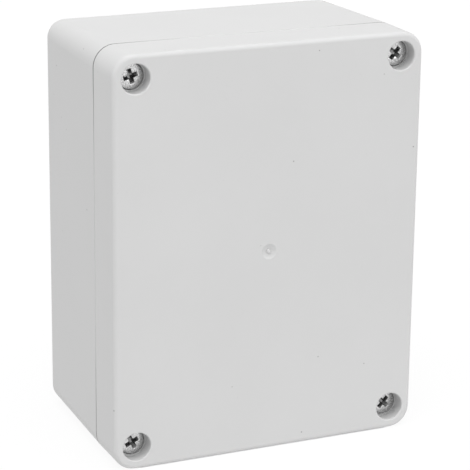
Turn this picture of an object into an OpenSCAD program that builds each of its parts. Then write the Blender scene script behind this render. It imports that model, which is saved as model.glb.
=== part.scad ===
// Sealed junction box: a drafted base tray, a deep screw-down lid with a cord seal,
// brass inserts in the corner pillars and four sunk cross-recess screws.
// Every piece is drawn lying on its back (X across, Y up the wall, Z out to the lid's face)
// and then stood upright with the lid facing -Y.

/* [Enclosure] */
// Width across the lid, left to right
box_w = 90; // [80:1:160]
// Height up the wall
box_h = 115; // [104:1:240]
// Depth from the back of the base to the face of the lid
box_d = 55; // [48:1:120]
// Depth of the lid from its face to its rim
lid_depth = 14; // [13:0.5:20]
// Radius of the four corners, seen from the front
corner_r = 6; // [5:0.5:8]
// Side wall of the base
wall = 3.2; // [2.8:0.1:3.6]
// Floor of the base
floor_t = 2.8; // [2:0.1:4]
// Front face of the lid
face_t = 2.8; // [2:0.1:4]
// Lean of each side of the base, from its rim in to its back
base_draft = 1; // [0.4:0.1:1.6]
// Open joint left between the two rims when the lid is down
parting_gap = 0.2; // [0.1:0.05:0.4]

/* [Edges] */
// Radius along the lid's front edges
front_fillet = 1.2; // [0.8:0.1:2.4]
// Radius along the back edges of the base
back_fillet = 1.8; // [0.8:0.1:2.4]
// Radius along the floor inside the base
floor_fillet = 1.5; // [0.8:0.1:2]
// Bevel round the rim of the base, seen as the line between base and lid
base_rim_bevel = 0.3; // [0.1:0.05:0.6]
// Bevel round the rim of the lid
lid_rim_bevel = 0.1; // [0.05:0.05:0.3]
// Radius round the mouths of the screw wells
mouth_round = 0.4; // [0.2:0.1:0.6]

/* [Seal] */
// Thickness of the tongue on the base's rim
tongue_t = 1; // [0.8:0.1:1.4]
// Height of the tongue above the rim
tongue_h = 1.6; // [1:0.1:2.4]
// Room on each side of the tongue in the lid's groove
tongue_clear = 0.35; // [0.25:0.05:0.5]
// Room left between the tongue and the gasket
seal_gap = 0.2; // [0.1:0.05:0.4]
// Thickness of the gasket cord along the depth of the groove
gasket_t = 1.5; // [1:0.1:2.5]
// Room on each side of the gasket in its groove
gasket_clear = 0.1; // [0.05:0.05:0.2]
// Rib of the lid on the inner side of the groove
rib_t = 1.5; // [1:0.1:2]
// Radius of the bends where the seal leaves a wall to pass a pillar
seal_bend = 2.2; // [2.1:0.1:3]

/* [Lid screws] */
// Distance of each screw's axis from the lid's outer sides
screw_inset = 6.5; // [6:0.1:8]
// Diameter over the thread
screw_d = 4; // [3:0.5:4.5]
// Length of the screw under its head
screw_len = 16; // [15:1:20]
// Diameter of the head
head_d = 7; // [6.5:0.1:8]
// Height of the head
head_h = 2.6; // [2.2:0.1:3.2]
// Radius round the top of the head
head_round = 0.3; // [0.2:0.1:1.4]
// Depth of the head's top below the lid's face
head_sunk = 4; // [2:0.5:5]
// Room round the head in its well
head_clear = 0.5; // [0.3:0.1:0.8]
// Room round the thread in the lid
shank_clear = 0.25; // [0.15:0.05:0.5]
// Span of the cross recess
recess_span = 4.3; // [3:0.1:5]
// Width of one arm of the cross recess
recess_arm = 1.35; // [0.8:0.05:1.4]
// Depth of the cross recess
recess_depth = 2; // [1:0.1:2.2]

/* [Threaded inserts] */
// Brass left round the thread
insert_wall = 0.9; // [0.7:0.1:1.2]
// Length of an insert
insert_len = 8; // [6:0.5:9]
// Room round the screw's thread inside an insert
thread_clear = 0.15; // [0.1:0.05:0.3]
// Room round an insert in its pillar
insert_fit = 0.05; // [0.02:0.01:0.1]
// Depth of an insert's top below the rim of the base
insert_sunk = 0.2; // [0:0.1:0.5]
// Room under the tip of the screw in the pillar
tip_room = 3; // [1:0.5:5]

/* [Wall fixing] */
// Distance from each lid screw along the long side to its fixing hole
fix_pitch = 10.5; // [9.5:0.5:14]
// Fixing hole through the floor
fix_hole_d = 4.4; // [3.4:0.1:5]
// Channel in the pillar for the fixing screw's head
fix_bore_d = 8; // [6.6:0.1:8.4]
// Plastic left under the fixing screw's head
fix_seat_t = 4.5; // [3:0.5:8]
// Radius of the pillar round the fixing channel
pillar_r = 6.6; // [6.2:0.1:7.5]
// Hollow in the lid over each fixing channel
core_d = 6; // [5:0.1:6.6]

/* [Board bosses] */
// Distance from the inner side wall to a boss
boss_side = 16.5; // [14:0.5:24]
// Distance from the inner end wall to a boss
boss_end = 12; // [7:0.5:20]
// Diameter of a boss
boss_d = 6.5; // [5:0.5:9]
// Height of a boss above the floor
boss_h = 5; // [3:0.5:12]
// Pilot hole in a boss
pilot_d = 2.6; // [2:0.1:3.2]
// Floor left under a pilot hole
pilot_floor = 1.6; // [1:0.1:2]
// Bevel round the top of a boss
boss_bevel = 0.4; // [0.2:0.1:0.8]

/* [Gate mark] */
// Diameter of the dish that the moulding gate leaves on the lid's face
gate_d = 4.4; // [3:0.1:5]
// Depth of the dish
gate_depth = 0.6; // [0.3:0.05:0.7]
// Diameter of the round stub that the runner leaves in the dish, level with the face
stub_d = 1.4; // [1:0.1:1.8]

/* [Hidden] */
$fn = 64;
CORNERS = ["top_left", "top_right", "bottom_left", "bottom_right"];

// Overshoot of cutting shapes past the faces that they open
over = 1;
// Depth by which a raised rim or boss is rooted in the wall under it
root = 0.5;

// Heights, from the back face up to the lid's face
lid_rim_z = box_d - lid_depth;
base_rim_z = lid_rim_z - parting_gap;
seat_z = box_d - head_sunk - head_h;
insert_top_z = base_rim_z - insert_sunk;
insert_low_z = insert_top_z - insert_len;
tip_z = seat_z - screw_len;
boss_top_z = floor_t + boss_h;

// Plan sizes of the space inside the seal
sealed_w = box_w - 2 * wall;
sealed_h = box_h - 2 * wall;
sealed_r = floor_fillet + base_draft + over;
sealed_lean = base_draft * (base_rim_z - floor_t) / base_rim_z;

// Groove in the lid, wide enough for the tongue and its room
groove_w = tongue_t + 2 * tongue_clear;
groove_top_z = base_rim_z + tongue_h + seal_gap + gasket_t;

// Places of screws, fixing holes and bosses in the top right quarter
screw_x = box_w / 2 - screw_inset;
screw_y = box_h / 2 - screw_inset;
fix_y = screw_y - fix_pitch;
boss_x = sealed_w / 2 - boss_side;
boss_y = sealed_h / 2 - boss_end;

// Centres of the seal's two bends beside the pillar of the top right quarter
bend_by_side = [sealed_w / 2 - seal_bend, fix_y - pillar_r - seal_bend];
bend_by_end = [screw_x - pillar_r - seal_bend, sealed_h / 2 - seal_bend];

// Fits
well_d = head_d + 2 * head_clear;
lid_hole_d = screw_d + 2 * shank_clear;
thread_bore_d = screw_d + 2 * thread_clear;
insert_d = thread_bore_d + 2 * insert_wall;
insert_hole_d = insert_d + 2 * insert_fit;

// Angle at which each screw's cross came to rest, in the order of CORNERS
cross_turn = [16, 50, 26, 47];

// Stands a piece upright: its back goes to +Y, its Y goes up
module stand_up() {
    translate([0, box_d / 2, box_h / 2]) rotate([90, 0, 0]) children();
}

// Repeats a shape of the top right quarter in all four quarters
module in_quarters() {
    for (flip_x = [0, 1], flip_y = [0, 1])
        mirror([flip_x, 0, 0]) mirror([0, flip_y, 0]) children();
}

// Half section of a tapered block, from its middle line out to its side.
// The narrow end lies on z = 0 with a rounded edge; "rise" carries the top on, straight up
module block_section(r, depth, lean, fillet, bevel, rise) {
    slope = atan(lean / depth);
    round_x = r - lean + fillet * tan(slope) - fillet / cos(slope);
    polygon([
        [0, 0],
        [round_x, 0],
        [round_x, fillet],
        [round_x + fillet * cos(slope), fillet - fillet * sin(slope)],
        [r - lean * bevel / depth, depth - bevel],
        [r - bevel, depth + rise],
        [0, depth + rise]
    ]);
    translate([round_x, fillet]) intersection() {
        circle(fillet);
        translate([0, -fillet]) square(fillet);
    }
}

// Rounded-rectangle block that leans in towards z = 0 by "lean" on each side.
// Its wide end has the size w by h and the corner radius r
module tapered_block(w, h, r, depth, lean, fillet, bevel, rise = 0) {
    centre_x = w / 2 - r;
    centre_y = h / 2 - r;
    module section() { block_section(r, depth, lean, fillet, bevel, rise); }
    module side(length) { rotate([90, 0, 0]) linear_extrude(length, center = true) section(); }
    translate([-centre_x, -centre_y, 0]) cube([2 * centre_x, 2 * centre_y, depth + rise]);
    for (turn = [0, 180]) {
        rotate(turn) translate([centre_x, 0, 0]) side(2 * centre_y);
        rotate(turn + 90) translate([centre_y, 0, 0]) side(2 * centre_x);
        rotate(turn) translate([centre_x, centre_y, 0]) rotate_extrude(angle = 90) section();
        rotate(turn + 90) translate([centre_y, centre_x, 0]) rotate_extrude(angle = 90) section();
    }
}

// Plan of one corner pillar, grown by "grow" into the box
module pillar_plan(grow) {
    r = pillar_r + grow;
    translate([screw_x, fix_y]) {
        circle(r);
        translate([0, -r]) square([box_w, box_h]);
        translate([-r, 0]) square([box_w, box_h]);
    }
}

// Corners beside one pillar that the seal's bends cut off, for a path drawn in by "inset"
module seal_corners(inset) {
    r = seal_bend - inset;
    for (centre = [bend_by_side, bend_by_end]) translate(centre) difference() {
        square(r + over);
        circle(r);
    }
}

// Plan of the space inside the seal, drawn in by "inset" from walls and pillars
module sealed_plan(inset) {
    difference() {
        square([sealed_w - 2 * inset, sealed_h - 2 * inset], center = true);
        in_quarters() {
            pillar_plan(inset);
            seal_corners(inset);
        }
    }
}

// Plan of a band that follows the seal from one inset to a deeper one
module seal_band(outer, inner) {
    difference() {
        sealed_plan(outer);
        sealed_plan(inner);
    }
}

// Hollow of the base: a tapered tray with the pillars left standing
module base_hollow() {
    depth = base_rim_z - floor_t;
    difference() {
        translate([0, 0, floor_t])
            tapered_block(sealed_w, sealed_h, sealed_r, depth, sealed_lean, floor_fillet, 0, over);
        linear_extrude(box_d) in_quarters() {
            pillar_plan(0);
            seal_corners(-tongue_clear / 2);
        }
    }
}

// Holes of one corner pillar: the insert's seat, room for the screw's tip, the fixing channel
module pillar_holes() {
    translate([screw_x, screw_y, insert_low_z]) cylinder(d = insert_hole_d, h = box_d);
    translate([screw_x, screw_y, tip_z - tip_room]) cylinder(d = lid_hole_d, h = box_d);
    translate([screw_x, fix_y, fix_seat_t]) cylinder(d = fix_bore_d, h = box_d);
    translate([screw_x, fix_y, -over]) cylinder(d = fix_hole_d, h = box_d);
}

// Round boss with a bevelled top, rooted in the floor
module board_boss() {
    translate([0, 0, floor_t - root]) cylinder(d = boss_d, h = boss_h + root - boss_bevel);
    translate([0, 0, boss_top_z - boss_bevel])
        cylinder(d1 = boss_d, d2 = boss_d - 2 * boss_bevel, h = boss_bevel);
}

// Drafted tray with pillars, rim tongue and board bosses
module base() {
    color([0.80, 0.80, 0.80]) stand_up() difference() {
        union() {
            difference() {
                tapered_block(box_w, box_h, corner_r, base_rim_z, base_draft, back_fillet, base_rim_bevel);
                base_hollow();
            }
            translate([0, 0, base_rim_z - root])
                linear_extrude(tongue_h + root) seal_band(-tongue_clear - tongue_t, -tongue_clear);
            in_quarters() translate([boss_x, boss_y, 0]) board_boss();
        }
        in_quarters() pillar_holes();
        in_quarters() translate([boss_x, boss_y, pilot_floor]) cylinder(d = pilot_d, h = boss_top_z);
    }
}

// Ring that rounds the mouth of a screw well at z = 0
module well_mouth() {
    rotate_extrude() translate([well_d / 2, -mouth_round]) difference() {
        translate([-over, 0]) square([over + mouth_round, mouth_round + over]);
        translate([mouth_round, 0]) circle(mouth_round);
    }
}

// Holes of one corner of the lid: the screw's way through, its well with a rounded mouth, the core
module lid_holes() {
    translate([screw_x, screw_y, 0]) {
        cylinder(d = lid_hole_d, h = box_d);
        translate([0, 0, seat_z]) cylinder(d = well_d, h = box_d);
        translate([0, 0, box_d]) well_mouth();
    }
    translate([screw_x, fix_y, 0]) cylinder(d = core_d, h = box_d - face_t);
}

// Mark of the moulding gate at z = 0: a shallow dish, less the round stub that stands in it
module gate_mark() {
    dish_r = (pow(gate_d / 2, 2) + pow(gate_depth, 2)) / (2 * gate_depth);
    difference() {
        translate([0, 0, dish_r - gate_depth]) sphere(dish_r);
        translate([0, 0, -stub_d / 2]) sphere(d = stub_d);
    }
}

// Deep lid with its seal groove, screw wells and gate mark
module lid() {
    color([0.83, 0.83, 0.83]) stand_up() difference() {
        translate([0, 0, box_d]) mirror([0, 0, 1])
            tapered_block(box_w, box_h, corner_r, lid_depth, 0, front_fillet, lid_rim_bevel);
        linear_extrude(box_d - face_t) sealed_plan(rib_t);
        linear_extrude(groove_top_z) seal_band(-groove_w, 0);
        in_quarters() lid_holes();
        translate([0, 0, box_d]) gate_mark();
    }
}

// Cord seal on the floor of the lid's groove
module gasket() {
    color([0.16, 0.16, 0.17]) stand_up()
        translate([0, 0, groove_top_z - gasket_t])
            linear_extrude(gasket_t) seal_band(gasket_clear - groove_w, -gasket_clear);
}

// Puts a piece drawn at a screw's axis into one of the CORNERS
module at_corner(corner) {
    side = corner % 2 == 0 ? -1 : 1;
    end = corner < 2 ? 1 : -1;
    translate([side * screw_x, end * screw_y, 0]) children();
}

// Brass insert with two gripping bands, a waist between them and bevelled ends
module insert(corner) {
    waist = insert_wall / 3;
    band = insert_len / 3;
    outer = insert_d / 2;
    bore = thread_bore_d / 2;
    color([0.80, 0.62, 0.28]) stand_up() at_corner(corner)
        translate([0, 0, insert_low_z]) rotate_extrude() polygon([
            [bore, 0],
            [outer - waist, 0],
            [outer, waist],
            [outer, band],
            [outer - waist, band + waist],
            [outer - waist, 2 * band - waist],
            [outer, 2 * band],
            [outer, insert_len],
            [bore + waist, insert_len],
            [bore, insert_len - waist]
        ]);
}

// One arm of the cross recess, narrower at the bottom
module recess_arms() {
    rotate([90, 0, 0]) linear_extrude(recess_arm, center = true) polygon([
        [-recess_span / 2, over],
        [-recess_span / 2, 0],
        [-recess_arm / 2, -recess_depth],
        [recess_arm / 2, -recess_depth],
        [recess_span / 2, 0],
        [recess_span / 2, over]
    ]);
}

// Machine screw with a round-edged head, its underside on the seat in the lid
module lid_screw(corner) {
    head_r = head_d / 2;
    tip_bevel = screw_d / 8;
    color([0.72, 0.72, 0.70]) stand_up() at_corner(corner) translate([0, 0, seat_z]) difference() {
        rotate_extrude() {
            polygon([
                [0, -screw_len],
                [screw_d / 2 - tip_bevel, -screw_len],
                [screw_d / 2, tip_bevel - screw_len],
                [screw_d / 2, 0],
                [head_r, 0],
                [head_r, head_h - head_round],
                [head_r - head_round, head_h - head_round],
                [head_r - head_round, head_h],
                [0, head_h]
            ]);
            translate([head_r - head_round, head_h - head_round]) intersection() {
                circle(head_round);
                square(head_round);
            }
        }
        translate([0, 0, head_h]) rotate(cross_turn[corner]) {
            recess_arms();
            rotate(90) recess_arms();
        }
    }
}

base();
lid();
gasket();
for (corner = [0:3]) {
    insert(corner);
    lid_screw(corner);
}
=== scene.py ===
# %% [markdown]
# # A sealed junction box
# This lesson dresses the solids of a small wall box of grey plastic. The solids already hold every true
# size: a tray with corner pillars, a deep lid, a seal, four brass inserts and four screws. What is left for
# Blender is how they look: the satin moulded plastic, the pressed and plated screw heads with their cross
# recesses, the threads, the knurled brass and the rounded rubber cord.

# %% Load the solids
import math
import bmesh
import bpy
from mathutils import Matrix, Vector


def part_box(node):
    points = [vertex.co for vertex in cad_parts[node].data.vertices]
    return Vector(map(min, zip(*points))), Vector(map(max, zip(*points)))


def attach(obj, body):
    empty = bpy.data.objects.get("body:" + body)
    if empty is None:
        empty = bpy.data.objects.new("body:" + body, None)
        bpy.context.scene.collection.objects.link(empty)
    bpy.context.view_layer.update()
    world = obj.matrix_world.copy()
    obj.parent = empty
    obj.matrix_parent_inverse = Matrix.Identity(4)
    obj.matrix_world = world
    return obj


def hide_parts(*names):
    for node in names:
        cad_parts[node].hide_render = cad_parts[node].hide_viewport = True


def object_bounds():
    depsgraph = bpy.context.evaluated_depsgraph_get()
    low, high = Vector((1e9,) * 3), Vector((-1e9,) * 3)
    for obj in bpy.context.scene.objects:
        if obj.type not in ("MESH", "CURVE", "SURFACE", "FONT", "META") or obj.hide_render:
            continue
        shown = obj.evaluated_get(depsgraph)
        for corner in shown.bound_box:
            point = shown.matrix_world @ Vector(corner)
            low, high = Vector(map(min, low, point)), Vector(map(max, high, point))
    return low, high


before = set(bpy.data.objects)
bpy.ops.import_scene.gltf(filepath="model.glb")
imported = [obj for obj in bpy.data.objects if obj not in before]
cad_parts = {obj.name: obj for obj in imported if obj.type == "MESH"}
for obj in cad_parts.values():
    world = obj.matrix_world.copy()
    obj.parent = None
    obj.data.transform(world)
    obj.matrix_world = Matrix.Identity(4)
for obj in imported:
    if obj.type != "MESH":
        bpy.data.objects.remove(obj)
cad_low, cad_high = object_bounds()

MM = 0.001
CORNERS = ("top_left", "top_right", "bottom_left", "bottom_right")
box_centre = (cad_low + cad_high) / 2
half_box = (cad_high - cad_low) / 2
print("solids:", sorted(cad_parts))
print("box in mm:", [round(side / MM, 1) for side in cad_high - cad_low])

# %% [markdown]
# ## Camera
# The picture was taken with a long lens from the front left and a little above, so upright edges stay
# nearly parallel. A camera is placed as on a tripod: it is turned about the upright axis, tilted down and
# rolled a trace. A camera at rest looks straight down, so a quarter turn about X comes first.

# %% Set up the camera
CAMERA_PLACE = Vector((-229.31, -519.33, 232.59)) * MM
CAMERA_TURN = math.radians(-24.010)
CAMERA_TILT = math.radians(90 - 17.443)
CAMERA_ROLL = math.radians(0.672)
CAMERA_LENS = 161.38

bpy.ops.object.select_all(action="DESELECT")
bpy.ops.object.camera_add()
camera = bpy.context.object
camera.name = "tripod_camera"
camera.data.lens = CAMERA_LENS
camera.matrix_world = (
    Matrix.Translation(CAMERA_PLACE)
    @ Matrix.Rotation(CAMERA_TURN, 4, "Z")
    @ Matrix.Rotation(CAMERA_TILT, 4, "X")
    @ Matrix.Rotation(CAMERA_ROLL, 4, "Z")
)
bpy.context.scene.camera = camera
print("camera stands", round((CAMERA_PLACE - box_centre).length, 3), "m from the middle of the box")

# %% [markdown]
# ## Building materials from nodes
# Surfaces are made from noise, masks and mixes of tones, with no picture files. These helpers add one node
# each, wire its inputs and hand back its result, so that the cells further down read like sums.


# %% Helpers for node trees
def add_node(tree, kind, **values):
    """A node of that kind; each value sets a property, or the input of that name with _ for a space."""
    node = tree.nodes.new(kind)
    for name, value in values.items():
        if hasattr(node, name):
            setattr(node, name, value)
        else:
            node.inputs[name.replace("_", " ")].default_value = value
    return node


def feed(tree, socket, value):
    """Gives an input its value, which is another node's result or plain."""
    if isinstance(value, bpy.types.NodeSocket):
        tree.links.new(value, socket)
    else:
        socket.default_value = value


def math_node(tree, operation, first, second=0):
    """A Math node on two values, each of them a result or a number; returns its result."""
    node = add_node(tree, "ShaderNodeMath", operation=operation)
    feed(tree, node.inputs[0], first)
    feed(tree, node.inputs[1], second)
    return node.outputs["Value"]


def ramp_between(tree, value, start, end, low=0.0, high=1.0, smooth=False):
    """Carries a value from start..end over to low..high and holds it there outside; returns the result."""
    node = add_node(tree, "ShaderNodeMapRange", interpolation_type="SMOOTHSTEP" if smooth else "LINEAR")
    for name, setting in (("From Min", start), ("From Max", end), ("To Min", low), ("To Max", high)):
        node.inputs[name].default_value = setting
    tree.links.new(value, node.inputs["Value"])
    return node.outputs["Result"]


def vector_node(tree, operation, first, second=(0, 0, 0)):
    """A Vector Math node on a result and a plain vector; returns a vector, or the number it measures."""
    node = add_node(tree, "ShaderNodeVectorMath", operation=operation)
    tree.links.new(first, node.inputs[0])
    node.inputs[1].default_value = second
    return node.outputs["Value" if operation in ("LENGTH", "DOT_PRODUCT") else "Vector"]


def split_axes(tree, vector):
    """The parts of a vector, by their names X, Y and Z."""
    node = tree.nodes.new("ShaderNodeSeparateXYZ")
    tree.links.new(vector, node.inputs["Vector"])
    return node.outputs


def grey(tone):
    """A neutral colour of that tone."""
    return (tone, tone, tone, 1)


def mix_colours(tree, share, first, second):
    """Goes from the first colour to the second by a share; each is a result or plain. Returns the mix."""
    node = add_node(tree, "ShaderNodeMix", data_type="RGBA")
    tree.links.new(share, node.inputs["Factor"])
    feed(tree, node.inputs["A"], first)
    feed(tree, node.inputs["B"], second)
    return node.outputs["Result"]


def noise_value(tree, vector, scale, detail, roughness):
    """Soft noise over a vector; the scale is a result or a number. Returns its value."""
    node = add_node(tree, "ShaderNodeTexNoise", Detail=detail, Roughness=roughness)
    tree.links.new(vector, node.inputs["Vector"])
    feed(tree, node.inputs["Scale"], scale)
    return node.outputs["Fac"]


def new_group(name, inputs, outputs):
    """An empty shader group with float or vector sockets, and its input and output nodes."""
    tree = bpy.data.node_groups.new(name, "ShaderNodeTree")
    for socket, kind in inputs:
        tree.interface.new_socket(socket, in_out="INPUT", socket_type=kind)
    for socket in outputs:
        tree.interface.new_socket(socket, in_out="OUTPUT", socket_type="NodeSocketFloat")
    return tree, tree.nodes.new("NodeGroupInput"), tree.nodes.new("NodeGroupOutput")


# %% [markdown]
# ## Floor
# The box stands on a white board lit from within, as on a light table, and leaves almost no shadow on it. A
# plain white floor would show one under the lamps. The board glows only where it is free, so the lower
# edges of the box stay dark where they touch it. How far a point lies outside the box's foot tells the two
# apart.

# %% Lay the floor
FLOOR_SIDE = 6.0
FREE_TONE = 0.07
COVERED_TONE = 0.95
FLOOR_GLOW = 0.91
FOOT_INSET = 7.0 * MM
GLOW_START, GLOW_FULL = -1.5 * MM, 1.0 * MM

bpy.ops.object.select_all(action="DESELECT")
bpy.ops.mesh.primitive_plane_add(size=FLOOR_SIDE)
floor = bpy.context.object
floor.name = "studio_floor"

light_table = bpy.data.materials.new("white_light_table")
light_table.use_nodes = True
tree = light_table.node_tree
floor_shader = tree.nodes["Principled BSDF"]
floor_place = tree.nodes.new("ShaderNodeTexCoord").outputs["Object"]
from_middle = vector_node(tree, "ABSOLUTE", floor_place)
box_foot = (half_box.x - FOOT_INSET, half_box.y, 0)
past_foot = split_axes(tree, vector_node(tree, "SUBTRACT", from_middle, box_foot))
outside_foot = math_node(tree, "MAXIMUM", past_foot["X"], past_foot["Y"])
free_floor = ramp_between(tree, outside_foot, GLOW_START, GLOW_FULL, smooth=True)
board_tone = mix_colours(tree, free_floor, grey(COVERED_TONE), grey(FREE_TONE))
tree.links.new(board_tone, floor_shader.inputs["Base Color"])
tree.links.new(mix_colours(tree, free_floor, grey(0), grey(1)), floor_shader.inputs["Emission Color"])
floor_shader.inputs["Emission Strength"].default_value = FLOOR_GLOW
floor_shader.inputs["Roughness"].default_value = 0.9
floor_shader.inputs["Specular IOR Level"].default_value = 0.0
floor.data.materials.append(light_table)
print("floor:", floor.name)

# %% [markdown]
# ## Light
# A product like this is shot in a white tent, so that light comes from all round and no hard shine shows on
# the rounded edges. Two soft lamps hang above it, a little to the front, which makes the top the brightest
# side and shades the deep wells. A third stands low at the front right, so the left is the darkest side.
# Lamps could be set up as objects, but the sky of the scene can be the tent itself: an even cloth with a
# bright patch for each lamp, found by how closely a direction points to it. "Standard" colour keeps the
# greys as they are measured.

# %% Hang the tent
TENT_CLOTH = 0.725
LAMP_EDGE = 0.85
LAMPS = {
    "overhead": (Vector((0.0, -0.2, 0.98)), 2.6),
    "upper left": (Vector((-0.3, -0.3, 0.9)), 2.55),
    "low right": (Vector((0.55, -0.82, 0.15)), 1.58),
}

tent = bpy.data.worlds.new("white_tent")
tent.use_nodes = True
tree = tent.node_tree
towards = tree.nodes.new("ShaderNodeTexCoord").outputs["Generated"]
light = TENT_CLOTH
for way, glow in LAMPS.values():
    near_lamp = vector_node(tree, "DOT_PRODUCT", towards, way.normalized())
    patch = ramp_between(tree, near_lamp, LAMP_EDGE, 1, 0, glow, smooth=True)
    light = math_node(tree, "ADD", patch, light)
cloth = tree.nodes["Background"]
cloth.inputs["Color"].default_value = grey(1)
tree.links.new(light, cloth.inputs["Strength"])
bpy.context.scene.world = tent
bpy.context.scene.view_settings.view_transform = "Standard"
print("tent:", tent.name, "with lamps", sorted(LAMPS))

# %% [markdown]
# ## Shared surface effects
# Two node groups hold what more than one finish needs. The first is the skin that a textured mould leaves
# on plastic and rubber: a fine grain, slow drifts of tone where the melt flowed, and stray specks, a few of
# them dark and more of them faint. The second is what handling and plating leave on metal: soft dull
# patches and a slight unevenness.

# %% The skin of a moulded piece
DRIFT_SCALE = 28.0
DARK_CELLS, DARK_SHARE = 150.0, 0.70
FAINT_CELLS, FAINT_SHARE = 430.0, 0.40
FAINT_SPREAD = 2.2
FAINT_STRENGTH = 0.22
SPECK_CORE, SPECK_EDGE = 0.6, 1.1
PALEST_SPECK = 0.35

moulded_skin, skin_in, skin_out = new_group(
    "moulded_skin",
    [("Vector", "NodeSocketVector"), ("Grain Scale", "NodeSocketFloat"), ("Speck Size", "NodeSocketFloat")],
    ["Grain", "Drift", "Specks"],
)
skin_place = skin_in.outputs["Vector"]


def speck_layer(cells, share, size):
    """Round dots in that share of the cells, each with a darkness of its own."""
    cell = add_node(moulded_skin, "ShaderNodeTexVoronoi", Scale=cells)
    moulded_skin.links.new(skin_place, cell.inputs["Vector"])
    draw = add_node(moulded_skin, "ShaderNodeSeparateColor")
    moulded_skin.links.new(cell.outputs["Color"], draw.inputs["Color"])
    reach = math_node(moulded_skin, "DIVIDE", cell.outputs["Distance"], size)
    inside = ramp_between(moulded_skin, reach, SPECK_CORE, SPECK_EDGE, 1, 0)
    chosen = math_node(moulded_skin, "LESS_THAN", draw.outputs["Red"], share)
    darkness = ramp_between(moulded_skin, draw.outputs["Green"], 0, 1, PALEST_SPECK, 1)
    dot = math_node(moulded_skin, "MULTIPLY", inside, chosen)
    return math_node(moulded_skin, "MULTIPLY", dot, darkness)


grain = noise_value(moulded_skin, skin_place, skin_in.outputs["Grain Scale"], detail=3.0, roughness=0.6)
drift = noise_value(moulded_skin, skin_place, DRIFT_SCALE, detail=4.0, roughness=0.55)
dark_size = skin_in.outputs["Speck Size"]
faint_size = math_node(moulded_skin, "MULTIPLY", dark_size, FAINT_SPREAD)
dark_specks = speck_layer(DARK_CELLS, DARK_SHARE, dark_size)
faint_specks = speck_layer(FAINT_CELLS, FAINT_SHARE, faint_size)
faint_specks = math_node(moulded_skin, "MULTIPLY", faint_specks, FAINT_STRENGTH)
all_specks = math_node(moulded_skin, "MAXIMUM", dark_specks, faint_specks)
for result, socket in ((grain, "Grain"), (drift, "Drift"), (all_specks, "Specks")):
    moulded_skin.links.new(result, skin_out.inputs[socket])
print("group:", moulded_skin.name, [item.name for item in moulded_skin.interface.items_tree])

# %% The marks of handling on metal
handled_metal, metal_in, metal_out = new_group(
    "handled_metal",
    [("Vector", "NodeSocketVector"), ("Patch Scale", "NodeSocketFloat"), ("Dent Scale", "NodeSocketFloat")],
    ["Dullness", "Unevenness"],
)
metal_place = metal_in.outputs["Vector"]
patch_scale, dent_scale = metal_in.outputs["Patch Scale"], metal_in.outputs["Dent Scale"]
dullness = noise_value(handled_metal, metal_place, patch_scale, detail=5.0, roughness=0.65)
unevenness = noise_value(handled_metal, metal_place, dent_scale, detail=2.0, roughness=0.5)
handled_metal.links.new(dullness, metal_out.inputs["Dullness"])
handled_metal.links.new(unevenness, metal_out.inputs["Unevenness"])
print("group:", handled_metal.name, [item.name for item in handled_metal.interface.items_tree])

# %% [markdown]
# ## Finishes
# Each finish is one material that reads Object coordinates, so that its pattern stays on the piece when the
# piece moves. Constant values sit on the shader itself, and only what varies over the surface is linked.
# Noise hardly ever leaves the range from 0.3 to 0.7, so that range is spread over the tones it steers.

# %% Helpers for finishes
NOISE_RANGE = (0.3, 0.7)


def new_finish(name, group, group_values, metallic):
    """A material, its tree and shader, its Object coordinates, the group they feed, and a bump for Normal."""
    finish = bpy.data.materials.new(name)
    finish.use_nodes = True
    tree = finish.node_tree
    shader = tree.nodes["Principled BSDF"]
    shader.inputs["Metallic"].default_value = metallic
    place = tree.nodes.new("ShaderNodeTexCoord").outputs["Object"]
    effect = tree.nodes.new("ShaderNodeGroup")
    effect.node_tree = group
    for socket, value in group_values.items():
        effect.inputs[socket].default_value = value
    tree.links.new(place, effect.inputs["Vector"])
    bump = tree.nodes.new("ShaderNodeBump")
    tree.links.new(bump.outputs["Normal"], shader.inputs["Normal"])
    return finish, tree, shader, place, effect, bump


def folded_place(tree, place):
    """Distances from the middle of the box along its axes, which are the same in all corners."""
    return vector_node(tree, "ABSOLUTE", vector_node(tree, "SUBTRACT", place, box_centre))


# %% [markdown]
# ### Grey plastic
# Moulded ABS is a light neutral grey with a soft satin shine. Close up it has a fine grain from the mould,
# a trace of tone drift and a few dark specks of stray granulate. Where base and lid meet, a darker tone is
# painted on the rims as painted shade, in place of the shadow in the narrow gap. A mask finds that joint: it
# is thin along the depth, lies on the outline, and fades towards the middle of each side.

# %% Find the joint between the rims
JOINT_LOW, JOINT_HIGH = -13.55 * MM, -12.98 * MM
JOINT_FADE_IN, JOINT_FADE_OUT = 0.04 * MM, 0.02 * MM
OUTLINE_R = 6.0 * MM
RIM_START, RIM_FULL = 0.8 * MM, 0.4 * MM
CORNER_SHADE_START, CORNER_SHADE_FULL = 0.3, 1.05
FAINTEST_JOINT_SHADE = 0.6

grey_abs, tree, shader, place, skin, bump = new_finish(
    "grey_abs_satin", moulded_skin, {"Grain Scale": 4200.0, "Speck Size": 0.035}, metallic=0.0
)

folded = folded_place(tree, place)
# Depth never gets past the whole depth of the box, so it adds nothing to the reach.
corner_axis = (half_box.x - OUTLINE_R, 2 * half_box.y, half_box.z - OUTLINE_R)
outwards = vector_node(tree, "MAXIMUM", vector_node(tree, "SUBTRACT", folded, corner_axis))
reach = vector_node(tree, "LENGTH", outwards)
on_outline = ramp_between(tree, reach, OUTLINE_R - RIM_START, OUTLINE_R - RIM_FULL)

joint_middle = (JOINT_LOW + JOINT_HIGH) / 2
joint_half = (JOINT_HIGH - JOINT_LOW) / 2
past_middle = math_node(tree, "SUBTRACT", split_axes(tree, place)["Y"], joint_middle)
off_joint = math_node(tree, "ABSOLUTE", past_middle)
in_joint = ramp_between(tree, off_joint, joint_half - JOINT_FADE_IN, joint_half + JOINT_FADE_OUT, 1, 0)

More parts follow.
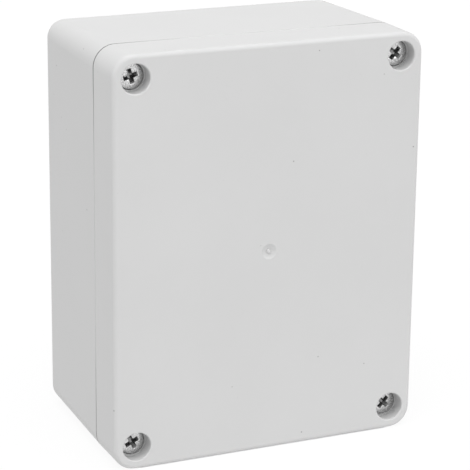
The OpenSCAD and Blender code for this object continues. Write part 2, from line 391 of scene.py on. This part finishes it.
along = split_axes(tree, folded)
along_width = math_node(tree, "DIVIDE", along["X"], half_box.x)
along_height = math_node(tree, "DIVIDE", along["Z"], half_box.z)
near_corner = math_node(tree, "MINIMUM", along_width, along_height)
joint_shade_near_corners = ramp_between(tree, near_corner, CORNER_SHADE_START, CORNER_SHADE_FULL, smooth=True)
uneven_joint_shade = ramp_between(tree, skin.outputs["Drift"], *NOISE_RANGE, FAINTEST_JOINT_SHADE, 1)
# Painted shade: the rims are darkened along the joint in place of the shadow in the gap.
painted_joint_shade = math_node(
    tree,
    "MULTIPLY",
    math_node(tree, "MULTIPLY", on_outline, in_joint),
    math_node(tree, "MULTIPLY", joint_shade_near_corners, uneven_joint_shade),
)
print("joint mask between", round(JOINT_LOW / MM, 2), "and", round(JOINT_HIGH / MM, 2), "mm")

# %% Colour and grain of the plastic
ABS_TONE = 0.55
ABS_DRIFT = 0.015
ABS_SPECK_TONE = 0.24
# The tone of the painted shade in the joint between the rims.
ABS_JOINT_SHADE_TONE = 0.17
ABS_ROUGHNESS = (0.46, 0.54)

drifting = ramp_between(tree, skin.outputs["Drift"], *NOISE_RANGE)
plain_tone = mix_colours(tree, drifting, grey(ABS_TONE * (1 - ABS_DRIFT)), grey(ABS_TONE * (1 + ABS_DRIFT)))
with_specks = mix_colours(tree, skin.outputs["Specks"], plain_tone, grey(ABS_SPECK_TONE))
# The painted joint shade goes over the plastic's own tone.
with_joint_shade = mix_colours(tree, painted_joint_shade, with_specks, grey(ABS_JOINT_SHADE_TONE))
tree.links.new(with_joint_shade, shader.inputs["Base Color"])
abs_roughness = ramp_between(tree, skin.outputs["Drift"], *NOISE_RANGE, *ABS_ROUGHNESS)
tree.links.new(abs_roughness, shader.inputs["Roughness"])
bump.inputs["Strength"].default_value = 0.12
bump.inputs["Distance"].default_value = 0.02 * MM
tree.links.new(skin.outputs["Grain"], bump.inputs["Height"])
shader.inputs["IOR"].default_value = 1.5
shader.inputs["Specular IOR Level"].default_value = 0.12
print("finish:", grey_abs.name)

# %% [markdown]
# ### Plated steel
# The screws are plated steel. Their heads are mottled where the plating took unevenly. The recess is painted
# darker, as painted shade at its foot. All four screws share one finish: folding the coordinates about the
# middle of the box brings the four axes onto one. The painted shade lies where a point is near that axis,
# between the top of the head and its underside.


# %% Helper for pieces on the four corner axes
def folded_radius(tree, place, node):
    """Distance from the axis of a corner piece, the same in all corners; node names the top right one."""
    low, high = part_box(node)
    axis = (low + high) / 2 - box_centre
    from_axis = vector_node(tree, "SUBTRACT", folded_place(tree, place), (axis.x, 0, axis.z))
    return vector_node(tree, "LENGTH", vector_node(tree, "MULTIPLY", from_axis, (1, 0, 1)))


# %% Plated steel
STEEL_BRIGHT = 0.76
STEEL_MOTTLED = 0.42
# The tone of the painted shade in the cross recess.
STEEL_RECESS_SHADE = 0.27
STEEL_PATCHES = (0.40, 0.60)
STEEL_ROUGHNESS = (0.34, 0.18)
RECESS_RIM = (2.3 * MM, 2.6 * MM)
RECESS_SLOPE = (0.10 * MM, 0.8 * MM)
HEAD_FOOT = (2.2 * MM, 2.5 * MM)

plated_steel, tree, shader, place, marks, bump = new_finish(
    "mottled_plated_steel", handled_metal, {"Patch Scale": 2600.0, "Dent Scale": 2300.0}, metallic=1.0
)
head_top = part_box("lid_screw_top_left")[0].y
below_top = math_node(tree, "SUBTRACT", split_axes(tree, place)["Y"], head_top)
sunk = ramp_between(tree, below_top, *RECESS_SLOPE, smooth=True)
within_head = ramp_between(tree, below_top, *HEAD_FOOT, 1, 0)
near_axis = ramp_between(tree, folded_radius(tree, place, "lid_screw_top_right"), *RECESS_RIM, 1, 0)
recess_shade_share = math_node(tree, "MULTIPLY", math_node(tree, "MULTIPLY", sunk, within_head), near_axis)
well_plated = ramp_between(tree, marks.outputs["Dullness"], *STEEL_PATCHES)
top_tone = mix_colours(tree, well_plated, grey(STEEL_MOTTLED), grey(STEEL_BRIGHT))
# Painted shade: the recess is darkened in place of the shade at its foot.
tree.links.new(mix_colours(tree, recess_shade_share, top_tone, grey(STEEL_RECESS_SHADE)), shader.inputs["Base Color"])
steel_roughness = ramp_between(tree, marks.outputs["Dullness"], *NOISE_RANGE, *STEEL_ROUGHNESS)
tree.links.new(steel_roughness, shader.inputs["Roughness"])
bump.inputs["Strength"].default_value = 0.35
bump.inputs["Distance"].default_value = 0.05 * MM
tree.links.new(marks.outputs["Unevenness"], bump.inputs["Height"])
print("finish:", plated_steel.name)

# %% [markdown]
# ### Brass and rubber
# The inserts are turned from brass bar, so a turning tool has left fine rings round each axis. The distance
# from the axis, folded as for the screws, makes the rings. The cord seal is dark rubber with a dull, even
# skin.

# %% Turned brass
BRASS_LIGHT = (0.80, 0.60, 0.28, 1)
BRASS_DULL = (0.58, 0.41, 0.17, 1)
BRASS_PATCHES = (0.35, 0.65)
BRASS_ROUGHNESS = (0.40, 0.24)
RING_PITCH = 0.09 * MM

turned_brass, tree, shader, place, marks, bump = new_finish(
    "turned_brass", handled_metal, {"Patch Scale": 500.0, "Dent Scale": 1500.0}, metallic=1.0
)
radius = folded_radius(tree, place, "insert_top_right")
rings = math_node(tree, "SINE", math_node(tree, "MULTIPLY", radius, 2 * math.pi / RING_PITCH))
still_bright = ramp_between(tree, marks.outputs["Dullness"], *BRASS_PATCHES)
tree.links.new(mix_colours(tree, still_bright, BRASS_DULL, BRASS_LIGHT), shader.inputs["Base Color"])
brass_roughness = ramp_between(tree, marks.outputs["Dullness"], *NOISE_RANGE, *BRASS_ROUGHNESS)
tree.links.new(brass_roughness, shader.inputs["Roughness"])
bump.inputs["Strength"].default_value = 0.25
bump.inputs["Distance"].default_value = 0.01 * MM
tree.links.new(rings, bump.inputs["Height"])
print("finish:", turned_brass.name)

# %% Dark rubber
RUBBER_DARK = (0.018, 0.018, 0.019, 1)
RUBBER_WORN = (0.045, 0.045, 0.046, 1)
RUBBER_ROUGHNESS = (0.55, 0.75)

seal_rubber, tree, shader, place, skin, bump = new_finish(
    "dark_seal_rubber", moulded_skin, {"Grain Scale": 6500.0, "Speck Size": 0.02}, metallic=0.0
)
worn = ramp_between(tree, skin.outputs["Drift"], *NOISE_RANGE)
tree.links.new(mix_colours(tree, worn, RUBBER_DARK, RUBBER_WORN), shader.inputs["Base Color"])
rubber_roughness = ramp_between(tree, skin.outputs["Grain"], *NOISE_RANGE, *RUBBER_ROUGHNESS)
tree.links.new(rubber_roughness, shader.inputs["Roughness"])
bump.inputs["Strength"].default_value = 0.3
bump.inputs["Distance"].default_value = 0.02 * MM
tree.links.new(skin.outputs["Grain"], bump.inputs["Height"])
print("finish:", seal_rubber.name)

# %% [markdown]
# ## Working by hand in code
# Every new piece below is modelled at the origin in millimetres, with its axis along Z, because round
# numbers are easier to follow there. Edit mode acts on what is selected, so a small helper picks vertices,
# edges or faces by a test on their place. Another joins or cuts two closed shapes and applies the result.
# What repeats is modelled once, and a last helper sets a copy of it in its place, with a mesh of its own.

# %% Helpers for modelling
SAME_PLACE = 0.001


def pick(piece):
    """This piece alone is selected and active."""
    bpy.ops.object.select_all(action="DESELECT")
    piece.select_set(True)
    bpy.context.view_layer.objects.active = piece


def new_cylinder(name, sides, radius, low, high):
    """A closed cylinder along Z from one height to another."""
    bpy.ops.object.select_all(action="DESELECT")
    bpy.ops.mesh.primitive_cylinder_add(
        vertices=sides, radius=radius, depth=high - low, location=(0, 0, (low + high) / 2)
    )
    piece = bpy.context.object
    piece.name = name
    bpy.ops.object.transform_apply(location=True, rotation=True, scale=True)
    return piece


def select_where(piece, kind, test):
    """Selects, in edit mode, only the verts, edges or faces that pass the test."""
    bpy.ops.mesh.select_mode(type={"verts": "VERT", "edges": "EDGE", "faces": "FACE"}[kind])
    bpy.ops.mesh.select_all(action="DESELECT")
    mesh = bmesh.from_edit_mesh(piece.data)
    for element in getattr(mesh, kind):
        if test(element):
            element.select_set(True)
    bmesh.update_edit_mesh(piece.data)


def at_height(element, height):
    """True if all the corners of an edge or face lie at that height."""
    return all(abs(vert.co.z - height) < SAME_PLACE for vert in element.verts)


def combine(piece, tool, operation):
    """Cuts, joins or trims a piece with another closed piece, which is used up."""
    pick(piece)
    bpy.ops.object.modifier_add(type="BOOLEAN")
    modifier = piece.modifiers[-1]
    modifier.operation = operation
    modifier.solver = "EXACT"
    modifier.object = tool
    bpy.ops.object.modifier_apply(modifier=modifier.name)
    bpy.data.objects.remove(tool)


def on_axis(node, depth):
    """The point at that depth on the axis of a solid, which runs from front to back through its middle."""
    low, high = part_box(node)
    return Vector(((low.x + high.x) / 2, depth, (low.z + high.z) / 2))


def set_copy(model, name, turn, place, finish):
    """Copies a model, turns it about its axis, points its top out of the lid, and gives it a finish."""
    pick(model)
    bpy.ops.object.duplicate()
    piece = bpy.context.object
    piece.name = name
    piece.matrix_world = (
        Matrix.Translation(place)
        @ Matrix.Rotation(math.radians(90), 4, "X")
        @ Matrix.Rotation(math.radians(turn), 4, "Z")
        @ Matrix.Scale(MM, 4)
    )
    bpy.ops.object.transform_apply(location=True, rotation=True, scale=True)
    piece.data.materials.append(finish)
    return piece


# %% [markdown]
# ### A screw thread
# A thread is one notch that winds along a rod. It could be drawn turn by turn, but the Screw modifier does
# it in one go: a short bent line as tall as one pitch is swept round while it climbs by one pitch per turn,
# so each turn ends where the next begins. Two bisect cuts then close the ends flat. The same rod serves as
# the shank of a screw and, a little larger, as the cutter for the thread inside an insert.

# %% Helper for threaded rods
PITCH = 0.7
CREST_SHARE = 0.15
THREAD_STEPS = 40


def threaded_rod(name, root_r, crest_r, low, high):
    """A closed rod along Z with a thread of one pitch, cut flat at both heights."""
    bpy.ops.object.select_all(action="DESELECT")
    bpy.ops.mesh.primitive_plane_add(size=1, rotation=(math.radians(90), 0, 0))
    rod = bpy.context.object
    rod.name = name
    bpy.ops.object.transform_apply(location=True, rotation=True, scale=True)
    bpy.ops.object.mode_set(mode="EDIT")
    bpy.ops.mesh.delete(type="ONLY_FACE")
    select_where(rod, "edges", lambda edge: all(vert.co.x < 0 for vert in edge.verts))
    bpy.ops.mesh.delete(type="EDGE")
    select_where(rod, "verts", lambda vert: vert.co.x > 0)
    bpy.ops.transform.resize(value=(1, 1, CREST_SHARE), center_override=(0.5, 0, 0))
    bpy.ops.mesh.select_all(action="SELECT")
    bpy.ops.transform.resize(value=(crest_r - root_r, 1, PITCH), center_override=(0, 0, 0))
    bpy.ops.transform.translate(value=((root_r + crest_r) / 2, 0, low - PITCH))
    bpy.ops.object.mode_set(mode="OBJECT")

    bpy.ops.object.modifier_add(type="SCREW")
    sweep = rod.modifiers[-1]
    sweep.screw_offset = PITCH
    sweep.iterations = math.ceil((high - low) / PITCH) + 2
    sweep.steps = THREAD_STEPS
    sweep.render_steps = THREAD_STEPS
    bpy.ops.object.modifier_apply(modifier=sweep.name)

    bpy.ops.object.mode_set(mode="EDIT")
    bpy.ops.mesh.select_all(action="SELECT")
    bpy.ops.mesh.remove_doubles(threshold=SAME_PLACE)
    for height, side in ((low, -1), (high, 1)):
        bpy.ops.mesh.select_all(action="SELECT")
        bpy.ops.mesh.bisect(
            plane_co=(0, 0, height), plane_no=(0, 0, side), use_fill=True, clear_outer=True
        )
    bpy.ops.mesh.select_all(action="SELECT")
    bpy.ops.mesh.normals_make_consistent(inside=False)
    bpy.ops.object.mode_set(mode="OBJECT")
    return rod


# %% [markdown]
# ### Lid screws
# Each corner of the lid is held by a machine screw with a low round-edged head, sunk in a well. The head is
# a cylinder whose top edge is rounded with a bevel, and whose top is raised a trace by two insets, as a
# forged head is never quite flat. The cross recess is pressed in by a punch, so a punch is modelled too: a
# small block with an arm drawn out on each side, narrower at its foot. It is cut out of the head, a cone
# widens the middle, and a fine bevel round the recess gives the rolled edge that catches the light.

# %% Forge the head
HEAD_SIDES = 96
HEAD_R = 3.5
HEAD_H = 2.6
HEAD_ROUND = 0.16
CROWN_INSET = 0.9
CROWN_RISES = (0.03, 0.02)

lid_screw = new_cylinder("lid_screw_model", HEAD_SIDES, HEAD_R, 0, HEAD_H)
bpy.ops.object.mode_set(mode="EDIT")
select_where(lid_screw, "edges", lambda edge: at_height(edge, HEAD_H))
bpy.ops.mesh.bevel(offset=HEAD_ROUND, segments=5, affect="EDGES")
for rise in CROWN_RISES:
    select_where(lid_screw, "faces", lambda face: face.normal.z > 0.99 and len(face.verts) > 4)
    bpy.ops.mesh.inset(thickness=CROWN_INSET)
    bpy.ops.transform.translate(value=(0, 0, rise))
bpy.ops.object.mode_set(mode="OBJECT")
print("head of", len(lid_screw.data.polygons), "faces")

# %% Press in the cross
RECESS_SPAN = 4.3
RECESS_ARM = 1.35
RECESS_DEPTH = 2.0
PUNCH_TOP = 0.3
PUNCH_TAPER = 0.5

bpy.ops.object.select_all(action="DESELECT")
bpy.ops.mesh.primitive_cube_add(
    size=1,
    location=(0, 0, HEAD_H + (PUNCH_TOP - RECESS_DEPTH) / 2),
    scale=(RECESS_ARM, RECESS_ARM, RECESS_DEPTH + PUNCH_TOP),
)
punch = bpy.context.object
bpy.ops.object.transform_apply(location=True, rotation=True, scale=True)
bpy.ops.object.mode_set(mode="EDIT")
for way in (Vector((1, 0, 0)), Vector((-1, 0, 0)), Vector((0, 1, 0)), Vector((0, -1, 0))):
    block_side = (way * RECESS_ARM / 2).xy
    select_where(punch, "faces", lambda face: (face.calc_center_median().xy - block_side).length < SAME_PLACE)
    bpy.ops.mesh.extrude_region_move(TRANSFORM_OT_translate={"value": way * (RECESS_SPAN - RECESS_ARM) / 2})
punch_foot = HEAD_H - RECESS_DEPTH
select_where(punch, "verts", lambda vert: abs(vert.co.z - punch_foot) < SAME_PLACE)
bpy.ops.transform.resize(value=(PUNCH_TAPER, PUNCH_TAPER, 1), center_override=(0, 0, punch_foot))
bpy.ops.object.mode_set(mode="OBJECT")
combine(lid_screw, punch, "DIFFERENCE")
print("cross", RECESS_SPAN, "mm wide and", RECESS_DEPTH, "mm deep")

# %% Widen its middle and roll its edge
CONE_SIDES = 32
CONE_FOOT_R, CONE_TOP_R = 0.25, 1.05
CONE_LIFT = 0.2
ROLLED_EDGE = 0.07

bpy.ops.object.select_all(action="DESELECT")
bpy.ops.mesh.primitive_cone_add(
    vertices=CONE_SIDES,
    radius1=CONE_FOOT_R,
    radius2=CONE_TOP_R,
    depth=RECESS_DEPTH,
    location=(0, 0, HEAD_H + CONE_LIFT - RECESS_DEPTH / 2),
)
combine(lid_screw, bpy.context.object, "DIFFERENCE")

pick(lid_screw)
bpy.ops.object.modifier_add(type="BEVEL")
rolled = lid_screw.modifiers[-1]
rolled.width = ROLLED_EDGE
rolled.segments = 2
rolled.limit_method = "ANGLE"
rolled.angle_limit = math.radians(35)
bpy.ops.object.modifier_apply(modifier=rolled.name)
print("head with recess:", len(lid_screw.data.polygons), "faces")

# %% Add the threaded shank
SHANK_SIDES = 64
SHANK_R = 1.97
SHANK_LEN = 16.0
SHANK_SUNK = 0.4
THREAD_ROOT_R = 1.62
CREST_SPARE = 0.08
TIP_BEVEL = 0.5
SMOOTH_UP_TO = math.radians(32)

# The crests are wound a trace too wide and trimmed by a plain blank, which also bevels the tip.
shank = threaded_rod("shank", THREAD_ROOT_R, SHANK_R + CREST_SPARE, -SHANK_LEN, SHANK_SUNK)
blank = new_cylinder("blank", SHANK_SIDES, SHANK_R, -SHANK_LEN, 1)
bpy.ops.object.mode_set(mode="EDIT")
select_where(blank, "edges", lambda edge: at_height(edge, -SHANK_LEN))
bpy.ops.mesh.bevel(offset=TIP_BEVEL, segments=1, affect="EDGES")
bpy.ops.object.mode_set(mode="OBJECT")
combine(shank, blank, "INTERSECT")
combine(lid_screw, shank, "UNION")
pick(lid_screw)
bpy.ops.object.shade_smooth_by_angle(angle=SMOOTH_UP_TO)
print("screw:", len(lid_screw.data.polygons), "faces")

# %% Put a screw in each well
CROSS_TURNS = {"top_left": 16, "top_right": 50, "bottom_left": 26, "bottom_right": 47}


def head_seat(corner):
    """The point where the axis of a corner's screw meets the underside of its head."""
    node = "lid_screw_" + corner
    return on_axis(node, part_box(node)[0].y + HEAD_H * MM)


for corner, turn in CROSS_TURNS.items():
    piece = set_copy(lid_screw, "machine_screw_" + corner, turn, head_seat(corner), plated_steel)
    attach(piece, "screw_" + corner)
    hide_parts("lid_screw_" + corner)
bpy.data.objects.remove(lid_screw)
print("screws stand in", len(CROSS_TURNS), "wells")

# %% [markdown]
# ### Seat rings
# Seen from the front, only a hairline parts each head from the plastic round it, because the foot of a well
# is a little narrower than its mouth. A short ring of grey plastic fills that room, let a hair's breadth
# into the wall and the seat so that no seam shows. It is made from a cylinder: both ends are inset, the two
# inner faces are bridged, which opens the middle, and the upper edge of the bore is bevelled.

# %% Shape a seat ring
SEAT_R = 4.03
SEAT_BORE_R = 3.72
SEAT_LOW, SEAT_TOP = -0.03, HEAD_H - 0.05
SEAT_ROUND = 0.06


def on_bore(edge):
    """True if an edge of the ring belongs to its bore."""
    return all(vert.co.xy.length < (SEAT_R + SEAT_BORE_R) / 2 for vert in edge.verts)


seat = new_cylinder("seat_model", HEAD_SIDES, SEAT_R, SEAT_LOW, SEAT_TOP)
bpy.ops.object.mode_set(mode="EDIT")
select_where(seat, "faces", lambda face: abs(face.normal.z) > 0.99)
bpy.ops.mesh.inset(thickness=SEAT_R - SEAT_BORE_R)
select_where(seat, "faces", lambda face: len(face.verts) > 4)
bpy.ops.mesh.bridge_edge_loops()
select_where(seat, "edges", lambda edge: at_height(edge, SEAT_TOP) and on_bore(edge))
bpy.ops.mesh.bevel(offset=SEAT_ROUND, segments=2, affect="EDGES")
bpy.ops.mesh.select_all(action="SELECT")
bpy.ops.mesh.normals_make_consistent(inside=False)
bpy.ops.object.mode_set(mode="OBJECT")
bpy.ops.object.shade_smooth_by_angle(angle=SMOOTH_UP_TO)
print("seat ring:", len(seat.data.polygons), "faces")

# %% Lay a ring in each well
for corner in CORNERS:
    piece = set_copy(seat, "seat_ring_" + corner, 0, head_seat(corner), grey_abs)
    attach(piece, "lid")
bpy.data.objects.remove(seat)
print("rings lie in", len(CORNERS), "wells")

# %% [markdown]
# ### Threaded inserts
# A brass insert sits in each pillar of the base and takes the screw's thread. Its outside is knurled in two
# bands so that the plastic grips it. A band could be cut tooth by tooth, but on a cylinder with an even
# number of sides it is enough to draw in every other upright edge. Bisect cuts give the rings where bands
# and waist begin, the rings are then drawn in, and the larger threaded rod cuts the bore.

# %% Turn and knurl an insert
INSERT_R = 3.05
INSERT_LEN = 8.0
WAIST = 0.3
TEETH = 36
KNURL = 0.16
BAND = INSERT_LEN / 3
NEAR = 0.01

insert = new_cylinder("insert_model", 2 * TEETH, INSERT_R, 0, INSERT_LEN)
bpy.ops.object.mode_set(mode="EDIT")
for height in (WAIST, BAND, BAND + WAIST, 2 * BAND - WAIST, 2 * BAND, INSERT_LEN - WAIST / 2):
    bpy.ops.mesh.select_all(action="SELECT")
    bpy.ops.mesh.bisect(plane_co=(0, 0, height), plane_no=(0, 0, 1))


def draw_in(test, amount):
    """Moves the insert's outer vertices that pass the test towards its axis."""
    select_where(insert, "verts", test)
    share = 1 - amount / INSERT_R
    bpy.ops.transform.resize(value=(share, share, 1), center_override=(0, 0, INSERT_LEN / 2))


def between_teeth(vert):
    """True on every other upright edge of the two bands."""
    step = round(math.atan2(vert.co.y, vert.co.x) / (math.pi / TEETH))
    lower = WAIST - NEAR < vert.co.z < BAND + NEAR
    upper = 2 * BAND - NEAR < vert.co.z < INSERT_LEN - WAIST / 4
    return step % 2 == 1 and (lower or upper)


draw_in(lambda vert: vert.co.z < NEAR, WAIST)
draw_in(lambda vert: BAND + NEAR < vert.co.z < 2 * BAND - NEAR, WAIST)
draw_in(lambda vert: vert.co.z > INSERT_LEN - NEAR, WAIST / 2)
draw_in(between_teeth, KNURL)
bpy.ops.object.mode_set(mode="OBJECT")
print("insert blank with", TEETH, "teeth on each band")

# %% Cut its thread
BORE_R = 2.02
BORE_ROOT_R = 2.32
TAP_SPARE = 1.0
MOUTH_SIDES = 64
MOUTH_HEIGHT = 0.8
MOUTH_FOOT_R, MOUTH_TOP_R = BORE_R - 0.1, BORE_ROOT_R + 0.4

tap = threaded_rod("tap", BORE_R, BORE_ROOT_R, -TAP_SPARE, INSERT_LEN + TAP_SPARE)
combine(insert, tap, "DIFFERENCE")
bpy.ops.object.select_all(action="DESELECT")
bpy.ops.mesh.primitive_cone_add(
    vertices=MOUTH_SIDES,
    radius1=MOUTH_FOOT_R,
    radius2=MOUTH_TOP_R,
    depth=MOUTH_HEIGHT,
    location=(0, 0, INSERT_LEN),
)
combine(insert, bpy.context.object, "DIFFERENCE")
pick(insert)
bpy.ops.object.shade_smooth_by_angle(angle=math.radians(25))
print("insert:", len(insert.data.polygons), "faces")

# %% Press an insert into each pillar
for corner in CORNERS:
    node = "insert_" + corner
    foot = on_axis(node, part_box(node)[1].y)
    piece = set_copy(insert, "knurled_insert_" + corner, 0, foot, turned_brass)
    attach(piece, "base")
    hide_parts("insert_" + corner)
bpy.data.objects.remove(insert)
print("inserts sit in", len(CORNERS), "pillars")

# %% [markdown]
# ### Cord seal
# The seal is a length of soft cord pressed into the groove of the lid. Its path is already right in the
# solid, which has a square section. A copy of that mesh is merged, freed of the lines that do not carry
# shape, and its long edges are rounded with a Bevel modifier, which is quicker than sweeping a new cord.

# %% Round the cord seal
CORD_ROUND = 0.5 * MM

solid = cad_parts["gasket"]
cord_mesh = solid.data.copy()
cord_mesh.transform(solid.matrix_world)
cord_mesh.materials.clear()
cord_seal = bpy.data.objects.new("cord_seal", cord_mesh)
bpy.context.scene.collection.objects.link(cord_seal)
pick(cord_seal)
bpy.ops.object.mode_set(mode="EDIT")
bpy.ops.mesh.select_all(action="SELECT")
bpy.ops.mesh.remove_doubles(threshold=SAME_PLACE * MM)
bpy.ops.mesh.dissolve_limited(angle_limit=math.radians(0.5))
bpy.ops.object.mode_set(mode="OBJECT")
bpy.ops.object.modifier_add(type="BEVEL")
rounding = cord_seal.modifiers[-1]
rounding.width = CORD_ROUND
rounding.segments = 4
rounding.limit_method = "ANGLE"
rounding.angle_limit = math.radians(60)
bpy.ops.object.modifier_apply(modifier=rounding.name)
bpy.ops.object.shade_smooth_by_angle(angle=math.radians(40))
cord_mesh.materials.append(seal_rubber)
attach(cord_seal, "lid")
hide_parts("gasket")
print("seal:", len(cord_mesh.polygons), "faces")

# %% [markdown]
# ## The two mouldings
# Base and lid keep the meshes of their solids, which already have their draft, rounded edges, wells and
# pillars. They only take the grey plastic.

# %% Dress the mouldings
for node in ("base", "lid"):
    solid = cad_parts[node]
    solid.data.materials.clear()
    solid.data.materials.append(grey_abs)
print("grey plastic on base and lid")
